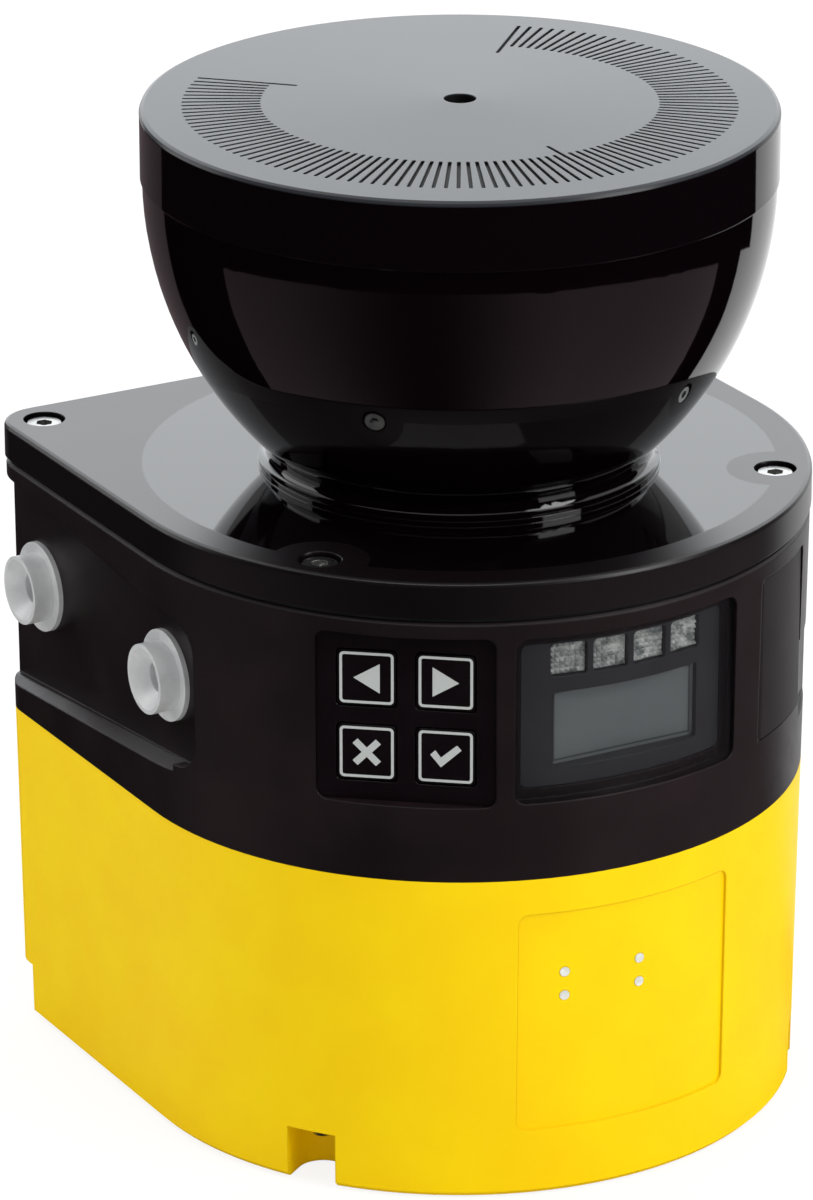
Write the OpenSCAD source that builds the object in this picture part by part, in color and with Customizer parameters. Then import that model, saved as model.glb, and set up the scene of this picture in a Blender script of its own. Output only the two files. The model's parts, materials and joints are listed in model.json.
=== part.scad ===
// Safety laser scanner: a black housing with a flat back on a yellow hood, and a glossy head
// over a spinning mirror. Millimetres, +Z up, front towards -Y. The origin lies on the mirror's
// axis, at the height of the face that the scanner stands on.

/* [Housing] */
// Radius of the round front, and half the width across the sides
body_r = 56; // [54:0.5:60]
// From the mirror's axis to the flat back
back_y = 55.1; // [54:0.1:60]
// Radius of the two rear corners
corner_r = 7; // [6:0.5:8]
// Lean of the housing's walls, in degrees
draft = 0.78; // [0.2:0.02:1]
// Height of the yellow hood
hood_h = 54.2; // [52:0.2:60]
// Height of the black housing above the hood
housing_h = 43; // [42:0.5:48]
// Wall of the black housing
wall = 3; // [2.6:0.1:3.4]
// Wall of the yellow hood
hood_wall = 2.4; // [2:0.1:2.8]
// Floor of the yellow hood
hood_floor = 3; // [2:0.2:4]

/* [Optics cover] */
// Thickness of the gasket under the cover
seal_t = 0.8; // [0.5:0.1:1.2]
// Thickness of the cover plate
plate_t = 5.7; // [5.2:0.1:7]
// Radius of the waist, where the bowl meets the plate
waist_r = 30.3; // [29.6:0.1:32]
// Radius of the head
head_r = 50; // [49:0.5:53]
// Radius of the arc of the bowl's side
bowl_arc_r = 60; // [58:1:64]
// Wall of the bowl
bowl_t = 2.2; // [1.6:0.1:2.6]
// Height of the cap's side, from the seam to the rim
cap_h = 11; // [10:0.1:16]
// Rise of the cap's top, from the rim to the middle
crown = 0.9; // [0.4:0.1:1.5]
// Wall of the cap
cap_t = 2.5; // [2:0.1:3]

/* [Bearing scale on the cap] */
// Angle that the scanner sees, in degrees
scan_angle = 275; // [190:5:275]
// Angle from one mark to the next, in degrees
mark_step = 2.5; // [2.5:2.5:10]
// Outer radius of the marks
mark_r_out = 43.4; // [42:0.2:45]
// Inner radius of the marks
mark_r_in = 31; // [29:0.5:34]
// Inner radius of the three long marks
mark_r_long = 26.8; // [22:0.2:28]
// Width of a mark
mark_w = 0.6; // [0.4:0.05:0.8]
// Depth of a mark
mark_depth = 0.45; // [0.3:0.05:0.8]
// Radius of the hole in the middle of the cap
centre_hole_r = 2.55; // [2:0.05:3]

/* [Front panel] */
// From the housing's top down to the middle of the display, the keypad and the flap
panel_down = 16.6; // [16:0.1:17.2]
// Width and height of the display's recess
display_w = 39.4; // [36:0.2:41]
display_h = 27.4; // [26:0.2:28.4]
// Width of the ledge that carries the display's window
display_ledge = 1.8; // [1.4:0.1:2.2]
// Web between the display and the keypad
keypad_web = 2.82; // [2:0.02:4]
// Side of the square keypad recess
keypad_side = 28; // [27:0.2:28.6]
// Side of a key, and from one key to the next
key_side = 9; // [7:0.1:9.2]
key_pitch = 12.25; // [11.6:0.05:12.4]
// Gap round a key
key_gap = 0.3; // [0.3:0.05:0.6]
// Stroke of a key
key_stroke = 0.4; // [0.2:0.05:0.5]
// Web between the display and the service flap
flap_web = 7.3; // [6.5:0.1:8]
// Width and height of the service flap
flap_w = 17.6; // [16:0.2:18.4]
flap_h = 26.6; // [24:0.2:28]

/* [Side and rear mounts] */
// From the housing's top down to the side sleeves
sleeve_down = 20.3; // [19.8:0.1:20.8]
// From the front sleeve to the rear one
sleeve_pitch = 44; // [40:0.5:45]
// Radius of a sleeve's tube and of its flange
sleeve_r = 5.65; // [5.2:0.05:6]
sleeve_flange_r = 7.4; // [6.8:0.1:7.8]
// How far a sleeve's tube stands out of the pocket's floor
sleeve_out = 4.2; // [2:0.1:5]
// Radius of the M5 threads
thread_r = 2.5; // [2.1:0.05:2.6]
// Depth of the pocket round the sleeves
pocket_depth = 3.5; // [3:0.1:4]
// Rear threads: across and up
rear_pitch_x = 52; // [44:1:56]
rear_pitch_z = 24; // [20:1:28]
// From the housing's top down to the middle of the rear threads
rear_down = 21.2; // [19.6:0.1:22.6]

/* [Screws and feet] */
// From the front edge in to the two front cover screws
post_in = 5.8; // [5.4:0.1:6.4]
// Turn of those screws away from the keypad
post_turn = 16.4; // [15.6:0.1:17.6]
// Width and height of the notches at the bottom screws
notch_w = 8.3; // [7:0.1:9]
notch_h = 9; // [7:0.5:11]

/* [Label panel] */
// Width and height of the recess for the label
label_w = 37.6; // [30:0.2:40]
label_h = 37; // [30:0.5:38]
// From the hood's top down to the label's middle
label_down = 24.5; // [23.4:0.1:26]
// Depth of the recess for the label
label_depth = 0.4; // [0.2:0.05:0.8]

/* [Connector bay] */
// From the hood's side to the bay at the rear
bay_side = 18; // [16:0.5:20]
// Depth of the bay
bay_y = 25; // [24:0.5:27]
// From the hood's top down to the bay's roof
bay_down = 11.2; // [9.4:0.2:12.2]
// From the bay's side to the axis of the first round connector
connector_side = 14; // [13:0.5:16]
// Radius of a round connector's M12 thread
connector_r = 6; // [5.5:0.1:6.5]
// Length of a round connector
connector_len = 10; // [9:0.5:11]

/* [Scanner unit] */
// How far the mirror's middle is above half the bowl's height
mirror_up = 1.81; // [1:0.01:2.2]
// Radius of the mirror's holder
mirror_r = 16; // [13:0.5:16.5]
// Radius of the motor's shaft
shaft_r = 2.5; // [2:0.1:3]
// Outer radius and height of a ball bearing
bearing_r = 6.5; // [6:0.1:7]
bearing_h = 4; // [3:0.5:5]
// Outer radius of the motor's rotor
rotor_r = 19; // [18:0.5:20]
// Radius of the receiver's lens
lens_r = 20; // [16:0.5:21]

/* [Hidden] */
$fn = 96;

// Clearances: fixed fits, running fits, and the smallest gap at a moving part
fit = 0.05;
run = 0.03;
gap = 0.3;
eps = 0.01;

board_t = 1.6;

// Places that follow from a root or an angle are kept to a hundredth
function snap(v) = round(v * 100) / 100;
function fine(v) = round(v * 10000) / 10000;

housing_top = hood_h + housing_h;
plate_z = housing_top + seal_t;
plate_top = plate_z + plate_t;

// The bowl's side is one arc, upright at the seam with the cap
cap_lip = 0.3;
bowl_cx = head_r - cap_lip - bowl_arc_r;
waist_z = plate_top + 3.4;
seam_z = snap(waist_z + sqrt(pow(bowl_arc_r, 2) - pow(waist_r - bowl_cx, 2)));
rim_z = seam_z + cap_h;
cap_top = rim_z + crown;
mirror_z = snap((waist_z + seam_z) / 2) + mirror_up;
rim_round = 0.8;

black = [0.07, 0.065, 0.065];
yellow = [0.98, 0.8, 0.0];
silver = [0.75, 0.75, 0.74];
board_green = [0.1, 0.33, 0.2];

// ---------- outline of the housing ----------

function wall_r(z) = body_r - 0.2 - (housing_top - z) * tan(draft);
back_in = body_r - back_y;
corner_in = body_r - corner_r;
front_end = 20;

// Flat outline: a half circle in front, straight sides, rounded rear corners
module outline(inset = 0) {
    r = body_r - inset;
    y = back_y - inset;
    intersection() {
        circle(r);
        translate([-r - 1, -r - 1]) square([2 * r + 2, r + 1 + front_end]);
    }
    translate([-r, 0]) square([2 * r, back_y - corner_r]);
    translate([-corner_in, 0]) square([2 * corner_in, y]);
    for (s = [-1, 1]) translate([s * corner_in, back_y - corner_r]) circle(corner_r - inset);
}

// The same outline with leaning walls, from z0 to z1
module drafted(z0, z1, inset = 0, inset_top = undef)
    leaning(z0, z1, wall_r(z0) - inset, wall_r(z1) - (is_undef(inset_top) ? inset : inset_top));

// Outline whose front radius goes from r0 to r1
module leaning(z0, z1, r0, r1) leaning_walls(z0, z1 - z0, fine(r0), fine(r1));

// The corners' cones and the flat sides share the same rounded radii, so they stay tangent
module leaning_walls(z0, h, r0, r1) {
    translate([0, 0, z0]) {
        intersection() {
            cylinder(r1 = r0, r2 = r1, h = h);
            translate([-2 * body_r, -2 * body_r, -1]) cube([4 * body_r, 2 * body_r + front_end, h + 2]);
        }
        for (s = [-1, 1]) translate([s * corner_in, back_y - corner_r, 0])
            cylinder(r1 = r0 - corner_in, r2 = r1 - corner_in, h = h);
        translate([0, back_y - corner_r, 0]) rotate([90, 0, 0])
            linear_extrude(back_y - corner_r)
                polygon([[-r0, 0], [r0, 0], [r1, h], [-r1, h]]);
        rotate([90, 0, 90]) translate([0, 0, -corner_in]) linear_extrude(2 * corner_in)
            polygon([[0, 0], [r0 - back_in, 0], [r1 - back_in, h], [0, h]]);
    }
}

module drafted_ring(z0, z1, outer, inner) difference() {
    drafted(z0, z1, outer);
    drafted(z0 - eps, z1 + eps, inner);
}

module rounded(w, h, r) {
    square([w - 2 * r, h], center = true);
    square([w, h - 2 * r], center = true);
    for (x = [-1, 1], y = [-1, 1]) translate([x * (w / 2 - r), y * (h / 2 - r)]) circle(r, $fn = 32);
}

// A rounded plate that faces the front, between two distances from the axis
module facing(w, h, r, near, far) translate([0, -near, 0]) rotate([90, 0, 0])
    linear_extrude(far - near) rounded(w, h, r);

// The same between two radii, so that it follows the round wall
module arc_plate(w, h, r, in, out) intersection() {
    facing(w, h, r, in * cos(40), out + 5);
    translate([0, 0, -h]) tube(out, in, 2 * h);
}

// Turns something made for the front by an angle, positive towards the right side
module at_angle(a, z = 0) rotate(a) translate([0, 0, z]) children();

module tube(r_out, r_in, h) difference() {
    cylinder(r = r_out, h = h);
    translate([0, 0, -eps]) cylinder(r = r_in, h = h + 2 * eps);
}

// ---------- screw places ----------

// The front panel's pieces stand side by side round the front
panel_z = housing_top - panel_down;
panel_r = snap(wall_r(panel_z));
display_in = panel_r - 2.3;
keypad_d = panel_r - 2.3;
display_half = asin(display_w / 2 / panel_r);
keypad_angle = snap(display_half + atan(keypad_side / 2 / keypad_d) + keypad_web / panel_r * 180 / PI);
flap_angle = snap(display_half + asin(flap_w / 2 / panel_r) + flap_web / panel_r * 180 / PI);
post_angle = keypad_angle + post_turn;
post_r = body_r - post_in;

rear_post = [corner_in + 0.4, back_y - corner_r + 0.4];
front_post = post_r * [sin(post_angle), -cos(post_angle)];
post_rad = 4.2;
cover_thread_r = 1.5;
hood_thread_r = 1;
leg_bottom = notch_h + hood_wall;
rear_notch_turn = 30;

module at_posts() for (s = [-1, 1]) {
    translate([s * front_post[0], front_post[1], 0]) rotate(s * post_angle) children();
    translate([s * rear_post[0], rear_post[1], 0]) rotate(s * (90 + rear_notch_turn)) children();
}

// ---------- black housing ----------

pocket_x = body_r - pocket_depth;
pocket_half = housing_h / 2 - 9.1;
sleeve_z = housing_top - sleeve_down;
rear_z = housing_top - rear_down;
pocket_flare = 5;
pocket_front = -12;
display_back = snap(sqrt(pow(display_in, 2) - pow(display_w / 2 + 1, 2)) - 2);
keypad_floor = keypad_d - 1.2;
display_board_w = display_w - 2 * display_ledge + 2.6;
display_board_h = display_h + 1;
keypad_well = keypad_side - 5;
keypad_bottom = keypad_floor - 4.2;
flap_out = panel_r - 0.1;
flap_t = 1.6;
flap_floor = flap_out - flap_t - gap;
flap_barrel = 0.9;
flap_pin_r = 0.5;
flap_pin_x = flap_barrel - flap_w / 2;
flap_pin_d = snap(sqrt(pow(flap_out - flap_barrel, 2) - pow(flap_pin_x, 2)));
socket_w = 12.5;
socket_h = 17;
socket_back = flap_floor - 5;
scoop_angle = flap_angle + 16.6;
scoop_r = 65;
scoop_h = 13.6;
spigot = 4;
ledge_z = housing_top - 6;
ledge_in = body_r - 13.5;
ledge_half = 14;
rear_boss_r = 5;
rear_thread_depth = 7.5;
cover_thread_depth = 9;

// Side pocket, seen from the side: it narrows towards the front and is open at the back
module pocket_profile() {
    front_r = 5;
    rear = back_y + 5;
    edge = (rear - pocket_front) * tan(pocket_flare);
    for (s = [-1, 1]) translate([pocket_front + front_r, s * (pocket_half - front_r)])
        circle(front_r);
    translate([pocket_front, -(pocket_half - front_r)]) square([front_r, 2 * (pocket_half - front_r)]);
    polygon([[pocket_front + front_r, -pocket_half], [rear, -pocket_half - edge],
        [rear, pocket_half + edge], [pocket_front + front_r, pocket_half]]);
}

module side_pocket() translate([pocket_x, 0, sleeve_z]) rotate([90, 0, 90])
    linear_extrude(20) pocket_profile();

// A sloping shelf where the pocket's lower edge meets the outer wall
module pocket_shelf() translate([pocket_x, 0, sleeve_z]) rotate([90, 0, 0])
    rotate([-pocket_flare, 0, 0]) translate([0, 0, -back_y - 6]) linear_extrude(back_y + 11)
        polygon([[0, -pocket_half - 0.5], [pocket_depth + 2, -pocket_half - 3],
                 [pocket_depth + 2, 0], [0, 0]]);

module at_sleeves() for (s = [0, 1], y = [0, sleeve_pitch]) mirror([s, 0, 0])
    translate([pocket_x, y, sleeve_z]) rotate([0, 90, 0]) children();

module at_rear_threads() for (x = [-1, 1], z = [-1, 1])
    translate([x * rear_pitch_x / 2, wall_r(rear_z + z * rear_pitch_z / 2) - back_in,
        rear_z + z * rear_pitch_z / 2]) rotate([-90, 0, 0]) children();

sleeve_depth = 8;
sleeve_sunk = 0.5;
sleeve_flange_t = 1.3;

housing_edge = 0.5;

// Outer shape of the housing, with its top edge broken
module housing_outer() intersection() {
    drafted(hood_h, housing_top);
    leaning(hood_h, housing_top, snap(wall_r(housing_top) - housing_edge) + housing_h,
        snap(wall_r(housing_top) - housing_edge));
}

module housing_pads() intersection() {
    housing_outer();
    union() {
        // thick side walls that hold the sleeves
        for (s = [-1, 1])
            translate([s * (pocket_x - wall + 10), pocket_front - 18 + back_y, (hood_h + housing_top) / 2])
            cube([20, 2 * back_y, housing_h], center = true);
        at_sleeves() translate([0, 0, -sleeve_depth - 1.5])
            cylinder(r = sleeve_flange_r, h = sleeve_depth + 2);
        at_angle(0, panel_z) facing(display_w + 5, display_h + 4, 3, display_back, body_r);
        at_angle(-keypad_angle, panel_z)
            facing(keypad_side + 4, keypad_side + 4, 3, keypad_bottom - 1.5, body_r);
        at_angle(flap_angle, panel_z) facing(flap_w + 4, flap_h + 4, 3, socket_back, body_r);
        at_rear_threads() translate([0, 0, -rear_thread_depth - 3])
            cylinder(r = rear_boss_r, h = rear_thread_depth + 6);
        translate([0, 0, hood_h - eps]) at_posts() cylinder(r = post_rad, h = housing_h + 2 * eps);
    }
}

// Legs inside the hood, with a thread in each foot for a hood screw
module housing_legs() intersection() {
    drafted(leg_bottom, hood_h + 1, hood_wall + gap);
    translate([0, 0, leg_bottom]) at_posts() cylinder(r = post_rad - 0.6, h = hood_h - leg_bottom + 1);
}

// A ledge on each side, above the sleeves, carries the motor
module carrier_ledge() for (s = [-1, 1])
    translate([s * (ledge_in + pocket_x - 1) / 2, 0, ledge_z - 2.5])
        cube([pocket_x - 1 - ledge_in, 2 * ledge_half, 5], center = true);

module flap_hinge_cut() translate([flap_pin_x, -flap_pin_d, 0]) {
    translate([0, 0, -flap_h / 2 - 2]) cylinder(r = flap_pin_r, h = flap_h + 4, $fn = 32);
    translate([0, 0, -flap_h / 2 - gap]) cylinder(r = flap_barrel + gap, h = flap_h + 2 * gap, $fn = 48);
}

module main_housing() color(black) difference() {
    union() {
        difference() {
            housing_outer();
            drafted(hood_h - eps, housing_top + eps, wall);
        }
        drafted_ring(hood_h - spigot, hood_h + 1, hood_wall + 0.2, hood_wall + 2.4);
        difference() {
            union() { housing_pads(); carrier_ledge(); }
            translate([0, 0, hood_h - 1]) cylinder(r = free_r, h = housing_h + 2);
            // room behind the display for its board
            at_angle(0, panel_z)
                facing(display_board_w + 0.6, display_board_h + 0.6, 1, free_r - 5, display_back);
        }
        housing_legs();
    }
    // groove for the hood's seal
    drafted_ring(hood_h - 3, hood_h - 1.4, hood_wall, hood_wall + 1.2);
    for (s = [0, 1]) mirror([s, 0, 0]) { side_pocket(); pocket_shelf(); }
    at_sleeves() {
        translate([0, 0, -sleeve_depth]) cylinder(r = sleeve_r + fit, h = sleeve_depth + 2);
        translate([0, 0, -sleeve_sunk]) cylinder(r = sleeve_flange_r + fit, h = 4);
    }
    at_rear_threads() translate([0, 0, -rear_thread_depth])
        cylinder(r = thread_r, h = rear_thread_depth + 5, $fn = 48);
    translate([0, 0, housing_top - cover_thread_depth]) at_posts()
        cylinder(r = cover_thread_r, h = cover_thread_depth + 1, $fn = 32);
    translate([0, 0, leg_bottom - 1]) at_posts() cylinder(r = hood_thread_r, h = 11, $fn = 32);
    at_angle(0, panel_z) {
        arc_plate(display_w, display_h, 2, display_in, body_r + 5);
        facing(display_w - 2 * display_ledge, display_h - 2 * display_ledge, 1.2, display_back - 5, body_r);
    }
    at_angle(-keypad_angle, panel_z) {
        facing(keypad_side, keypad_side, 1.8, keypad_floor, body_r + 5);
        facing(keypad_well, keypad_well, 0.9, keypad_bottom, body_r);
        facing(9, 2, 0.8, keypad_bottom - 5, body_r);
    }
    at_angle(flap_angle, panel_z) {
        arc_plate(flap_w + 2 * gap, flap_h + 2 * gap, 1.2, flap_floor, body_r + 5);
        facing(socket_w, socket_h, 1, socket_back - 5, body_r);
        flap_hinge_cut();
    }
    at_angle(scoop_angle, panel_z) finger_scoop();
    carrier_screw_holes();
}

// Free space round the axis, for the motor's carrier and the boards
free_r = ledge_in - 2.5;

// A shallow hollow beside the flap, for a fingertip
module finger_scoop() translate([0, -flap_out + 0.9 - scoop_r, -flap_h / 2 - 3.2])
    cylinder(r = scoop_r, h = scoop_h, $fn = 240);

// ---------- yellow hood ----------

bay_h = hood_h - bay_down;
bay_w = 2 * (body_r - bay_side);
label_z = hood_h - label_down;
bay_wall = 2;
notch_deep_r = notch_w / 2;

module notch_profile(grow = 0) {
    circle(notch_deep_r + grow);
    translate([-notch_deep_r - grow, -12]) square([notch_w + 2 * grow, 12]);
}

module bay(grow = 0) translate([-bay_w / 2 - grow, back_y - bay_y - grow, -1 - grow])
    cube([bay_w + 2 * grow, bay_y + grow + 10, bay_h + 1 + 2 * grow]);

module label_recess() at_angle(0, label_z) difference() {
    facing(label_w, label_h, 1.6, 30, body_r + 5);
    translate([0, 0, -label_z]) drafted(label_z - label_h, label_z + label_h, label_depth);
}

dot_r = 0.8;
dot_angles = [-12.1, 1.4];
dot_heights = [label_z + 8.1, label_z + 4.1];
pipe_in = 8;

module at_dots() for (a = dot_angles, z = dot_heights) at_angle(a, z) rotate([90, 0, 0]) children();

bottom_edge = 0.8;

module hood_outer() intersection() {
    drafted(0, hood_h);
    leaning(0, hood_h, snap(wall_r(0) - bottom_edge), snap(wall_r(0) - bottom_edge) + hood_h);
}

module yellow_hood() color(yellow) difference() {
    hood_outer();
    difference() {
        drafted(hood_floor, hood_h + 1, hood_wall);
        at_posts() linear_extrude(leg_bottom) notch_profile(hood_wall);
        bay(bay_wall);
    }
    translate([0, 0, -1]) at_posts() linear_extrude(notch_h + 1) notch_profile();
    translate([0, 0, notch_h - 1]) at_posts() cylinder(r = hood_thread_r + 0.2, h = 5, $fn = 32);
    bay();
    label_recess();
    at_dots() cylinder(r = dot_r + 0.02, h = body_r + 5, $fn = 32);
    // window in the bay's roof for the plug's socket
    translate([-bay_w / 4 - 1, back_y - bay_y + 3, bay_h - 1]) cube([bay_w / 2 + 2, 9, bay_wall + 2]);
    at_plug_screws() translate([0, 0, -1]) cylinder(r = plug_screw_r, h = 4, $fn = 32);
}

module hood_seal() color([0.15, 0.15, 0.15])
    drafted_ring(hood_h - 3 + fit, hood_h - 1.4 - fit, hood_wall, hood_wall + 1.1);

module socket_screw(r, head_r, head_h, len) difference() {
    union() {
        cylinder(r = head_r, h = head_h, $fn = 40);
        translate([0, 0, -len]) cylinder(r = r, h = len + eps, $fn = 32);
    }
    translate([0, 0, head_h * 0.45]) cylinder(r = r * 0.95, h = head_h, $fn = 6);
}

hood_head_r = 1.6;
hood_head_h = 2;

module hood_screws() color(silver) translate([0, 0, notch_h]) at_posts() mirror([0, 0, 1])
    socket_screw(hood_thread_r - run, hood_head_r, hood_head_h, 10.5);

// ---------- optics cover ----------

screw_sink_r = 3.4;
screw_head_r = 2.75;
screw_head_h = 2.6;
screw_sink = 3.2;
neck_h = waist_z - plate_top;
edge_round = 0.7;
plate_spigot = 2;

module cover_plate() intersection() {
    translate([0, 0, plate_z]) linear_extrude(plate_t) outline();
    leaning(plate_z, plate_top, body_r + (plate_t - edge_round) * 3 / 7, body_r - edge_round * 3 / 7);
    leaning(plate_z, plate_top, body_r - edge_round + plate_t * 7 / 3, body_r - edge_round);
}

module bowl_side(from_z, to_z) rotate_extrude($fn = 144) intersection() {
    translate([bowl_cx, seam_z]) difference() {
        circle(bowl_arc_r, $fn = 288);
        circle(bowl_arc_r - bowl_t, $fn = 288);
    }
    translate([waist_r - 6, from_z]) square([head_r, to_z - from_z]);
}

// The waist flares out to meet the plate
module waist() rotate_extrude($fn = 144) difference() {
    translate([waist_r - bowl_t - 0.6, plate_z]) square([bowl_t + 2.2, waist_z - plate_z + 0.4]);
    translate([waist_r + 1.6, waist_z - 0.8]) circle(1.6, $fn = 48);
    translate([waist_r, waist_z - 0.8]) square([3, 3]);
}

module optics_cover() color([0.03, 0.03, 0.035]) difference() {
    union() {
        cover_plate();
        waist();
        bowl_side(waist_z - 0.4, seam_z);
    }
    translate([0, 0, plate_z - 1]) cylinder(r = waist_r - bowl_t - 0.6, h = waist_z - plate_z + 1.01);
    translate([0, 0, plate_z - 1]) linear_extrude(plate_t - 2) outline_inside();
    translate([0, 0, plate_z - 1]) at_posts() cylinder(r = cover_thread_r + 0.2, h = 20, $fn = 32);
    translate([0, 0, plate_top - screw_sink]) at_posts() cylinder(r = screw_sink_r, h = 10, $fn = 48);
}

// Underside of the plate: hollow between the rim and the screw posts
module outline_inside() difference() {
    outline(wall + 3);
    circle(waist_r + 4);
    at_posts_flat() circle(screw_sink_r + 2.6);
}

module at_posts_flat() for (s = [-1, 1]) {
    translate([s * front_post[0], front_post[1]]) children();
    translate([s * rear_post[0], rear_post[1]]) children();
}

module cover_seal() color([0.12, 0.12, 0.12]) translate([0, 0, housing_top]) linear_extrude(seal_t)
    difference() {
        outline(0.9);
        difference() {
            outline(wall + 0.4);
            at_posts_flat() circle(post_rad);
        }
        at_posts_flat() circle(cover_thread_r + 0.2);
    }

module cover_screws() color(silver) translate([0, 0, plate_top - screw_sink]) at_posts()
    socket_screw(cover_thread_r - run, screw_head_r, screw_head_h, plate_t - screw_sink + seal_t + 7.5);

// ---------- cap of the head ----------

cap_skirt = 3;
mark_count = floor(scan_angle / mark_step / 2 + eps);

module mark(r_in) {
    translate([r_in + mark_w / 2, -mark_w / 2]) square([mark_r_out - r_in - mark_w, mark_w]);
    for (r = [r_in + mark_w / 2, mark_r_out - mark_w / 2]) translate([r, 0]) circle(mark_w / 2, $fn = 16);
}

module marks() for (i = [-mark_count:mark_count]) rotate(i * mark_step - 90)
    mark(i == 0 || abs(i) == mark_count ? mark_r_long : mark_r_in);

function cap_outline(drop) = [[0, seam_z], [head_r, seam_z], [head_r, rim_z - rim_round - drop],
    [head_r - rim_round * 0.3, rim_z - rim_round * 0.3 - drop], [head_r - rim_round, rim_z - drop],
    [0, cap_top - drop]];

module cap_hollow() rotate_extrude() polygon([[0, seam_z - 1], [head_r - cap_t, seam_z - 1],
    [head_r - cap_t, rim_z - cap_t - 1], [0, rim_z - cap_t]]);

module head_cap() color([0.05, 0.05, 0.055]) difference() {
    rotate_extrude($fn = 144) polygon(cap_outline(0));
    cap_hollow();
    difference() {
        translate([0, 0, rim_z - 3]) linear_extrude(10) marks();
        rotate_extrude() polygon(cap_outline(mark_depth));
    }
    translate([0, 0, rim_z - 1]) cylinder(r = centre_hole_r, h = 5, $fn = 48);
}

// ---------- side sleeves ----------

sleeve_sink_r = sleeve_r - 0.7;

module sleeve() difference() {
    union() {
        translate([0, 0, -sleeve_depth]) cylinder(r = sleeve_r, h = sleeve_depth + sleeve_out);
        translate([0, 0, -sleeve_sunk]) cylinder(r = sleeve_flange_r, h = sleeve_flange_t);
    }
    translate([0, 0, -sleeve_depth + 1.5]) cylinder(r = thread_r, h = 30, $fn = 48);
    translate([0, 0, sleeve_out - 2.3]) cylinder(r1 = thread_r, r2 = sleeve_sink_r + 0.1, h = 2.4);
}

module side_sleeves() color(silver) at_sleeves() sleeve();

// ---------- display ----------

window_t = 1.7;
window_out = display_in + window_t;
frame_d = display_in - 0.1;
lcd_d = frame_d - 2.6;
lcd_z = -2.6;
lcd_w = 25.6;
lcd_h = 12.4;
lens_w = 5.9;
lens_h = 5.4;
lens_z = 8.8;
lens_turn = 7.5;
display_in_w = display_w - 2 * display_ledge - 0.3;
display_in_h = display_h - 2 * display_ledge - 0.3;

module display_window() color([0.2, 0.2, 0.22, 0.6]) at_angle(0, panel_z)
    arc_plate(display_w - 2 * fit, display_h - 2 * fit, 2 - fit, display_in, window_out);

module lens_hole(grow) for (i = [-1.5:1.5]) at_angle(i * lens_turn, lens_z)
    facing(lens_w + grow, lens_h + grow, 0.8, display_back - 5, frame_d + 5);

module display_frame() color([0.16, 0.17, 0.18]) at_angle(0, panel_z) difference() {
    intersection() {
        facing(display_in_w, display_in_h, 1.1, display_back, body_r);
        translate([0, 0, -display_h]) cylinder(r = frame_d, h = 2 * display_h);
    }
    lens_hole(2 * fit);
    translate([0, 0, lcd_z]) {
        facing(lcd_w, lcd_h, 0.5, display_back - 1, body_r);
        facing(lcd_w + 4.1, lcd_h + 4.1, 0.5, display_back - 1, lcd_d);
    }
}

module status_lens(i) color([0.85, 0.9, 0.88, 0.7]) at_angle(0, panel_z) intersection() {
    at_angle((i - 2.5) * lens_turn, lens_z) facing(lens_w, lens_h, 0.75, display_back - 2, body_r);
    translate([0, 0, -display_h]) cylinder(r = frame_d - 0.1, h = 2 * display_h);
    facing(display_w, display_h, 1, display_back, body_r);
}

module status_lens_1() status_lens(1);
module status_lens_2() status_lens(2);
module status_lens_3() status_lens(3);
module status_lens_4() status_lens(4);

module lcd_module() color([0.33, 0.37, 0.35]) at_angle(0, panel_z + lcd_z)
    facing(lcd_w + 4, lcd_h + 4, 0.45, display_back, lcd_d);

module display_board() color(board_green) at_angle(0, panel_z)
    facing(display_board_w, display_board_h, 1, display_back - board_t, display_back);

// ---------- keypad ----------

key_flange = 1.4;
key_flange_t = 0.5;

module at_keys(i) at_angle(-keypad_angle, panel_z)
    translate([(i % 2 - 0.5) * key_pitch, 0, (0.5 - floor(i / 2)) * key_pitch]) children();

module keypad_frame() color(black) difference() {
    at_angle(-keypad_angle, panel_z)
        facing(keypad_side - 2 * fit, keypad_side - 2 * fit, 1.75, keypad_floor, keypad_d);
    for (i = [0:3]) at_keys(i)
        facing(key_side + 2 * key_gap, key_side + 2 * key_gap, 0.9, keypad_floor - 1, keypad_d + 1);
}

module key(i) color([0.1, 0.1, 0.1]) at_keys(i) {
    facing(key_side, key_side, 0.7, keypad_floor - key_flange_t, keypad_d);
    facing(key_side + key_flange, key_side + key_flange, 0.8, keypad_floor - key_flange_t, keypad_floor);
}

module key_left() key(0);
module key_right() key(1);
module key_cancel() key(2);
module key_confirm() key(3);

mat_d = keypad_bottom + board_t;
mat_t = 0.8;
dome_top = keypad_floor - key_flange_t - key_stroke - 0.1;

module keypad_mat() color([0.3, 0.3, 0.32]) {
    at_angle(-keypad_angle, panel_z)
        facing(keypad_well - 2 * fit, keypad_well - 2 * fit, 0.85, mat_d, mat_d + mat_t);
    for (i = [0:3]) at_keys(i) translate([0, -mat_d - mat_t + 0.1, 0]) rotate([90, 0, 0])
        cylinder(r1 = 3, r2 = 2.2, h = dome_top - mat_d - mat_t + 0.1, $fn = 32);
}

module keypad_board() color(board_green) at_angle(-keypad_angle, panel_z)
    facing(keypad_well - 2 * fit, keypad_well - 2 * fit, 0.85, keypad_bottom, keypad_bottom + board_t);

// ---------- service flap ----------

// The hinge edge is round, so that it turns in the recess
module flap_body() {
    intersection() {
        arc_plate(flap_w, flap_h, 1, flap_out - flap_t, flap_out);
        translate([flap_pin_x, -body_r, -flap_h]) cube([flap_w, body_r, 2 * flap_h]);
    }
    translate([flap_pin_x, -flap_pin_d, -flap_h / 2]) cylinder(r = flap_barrel, h = flap_h, $fn = 48);
}

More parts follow.
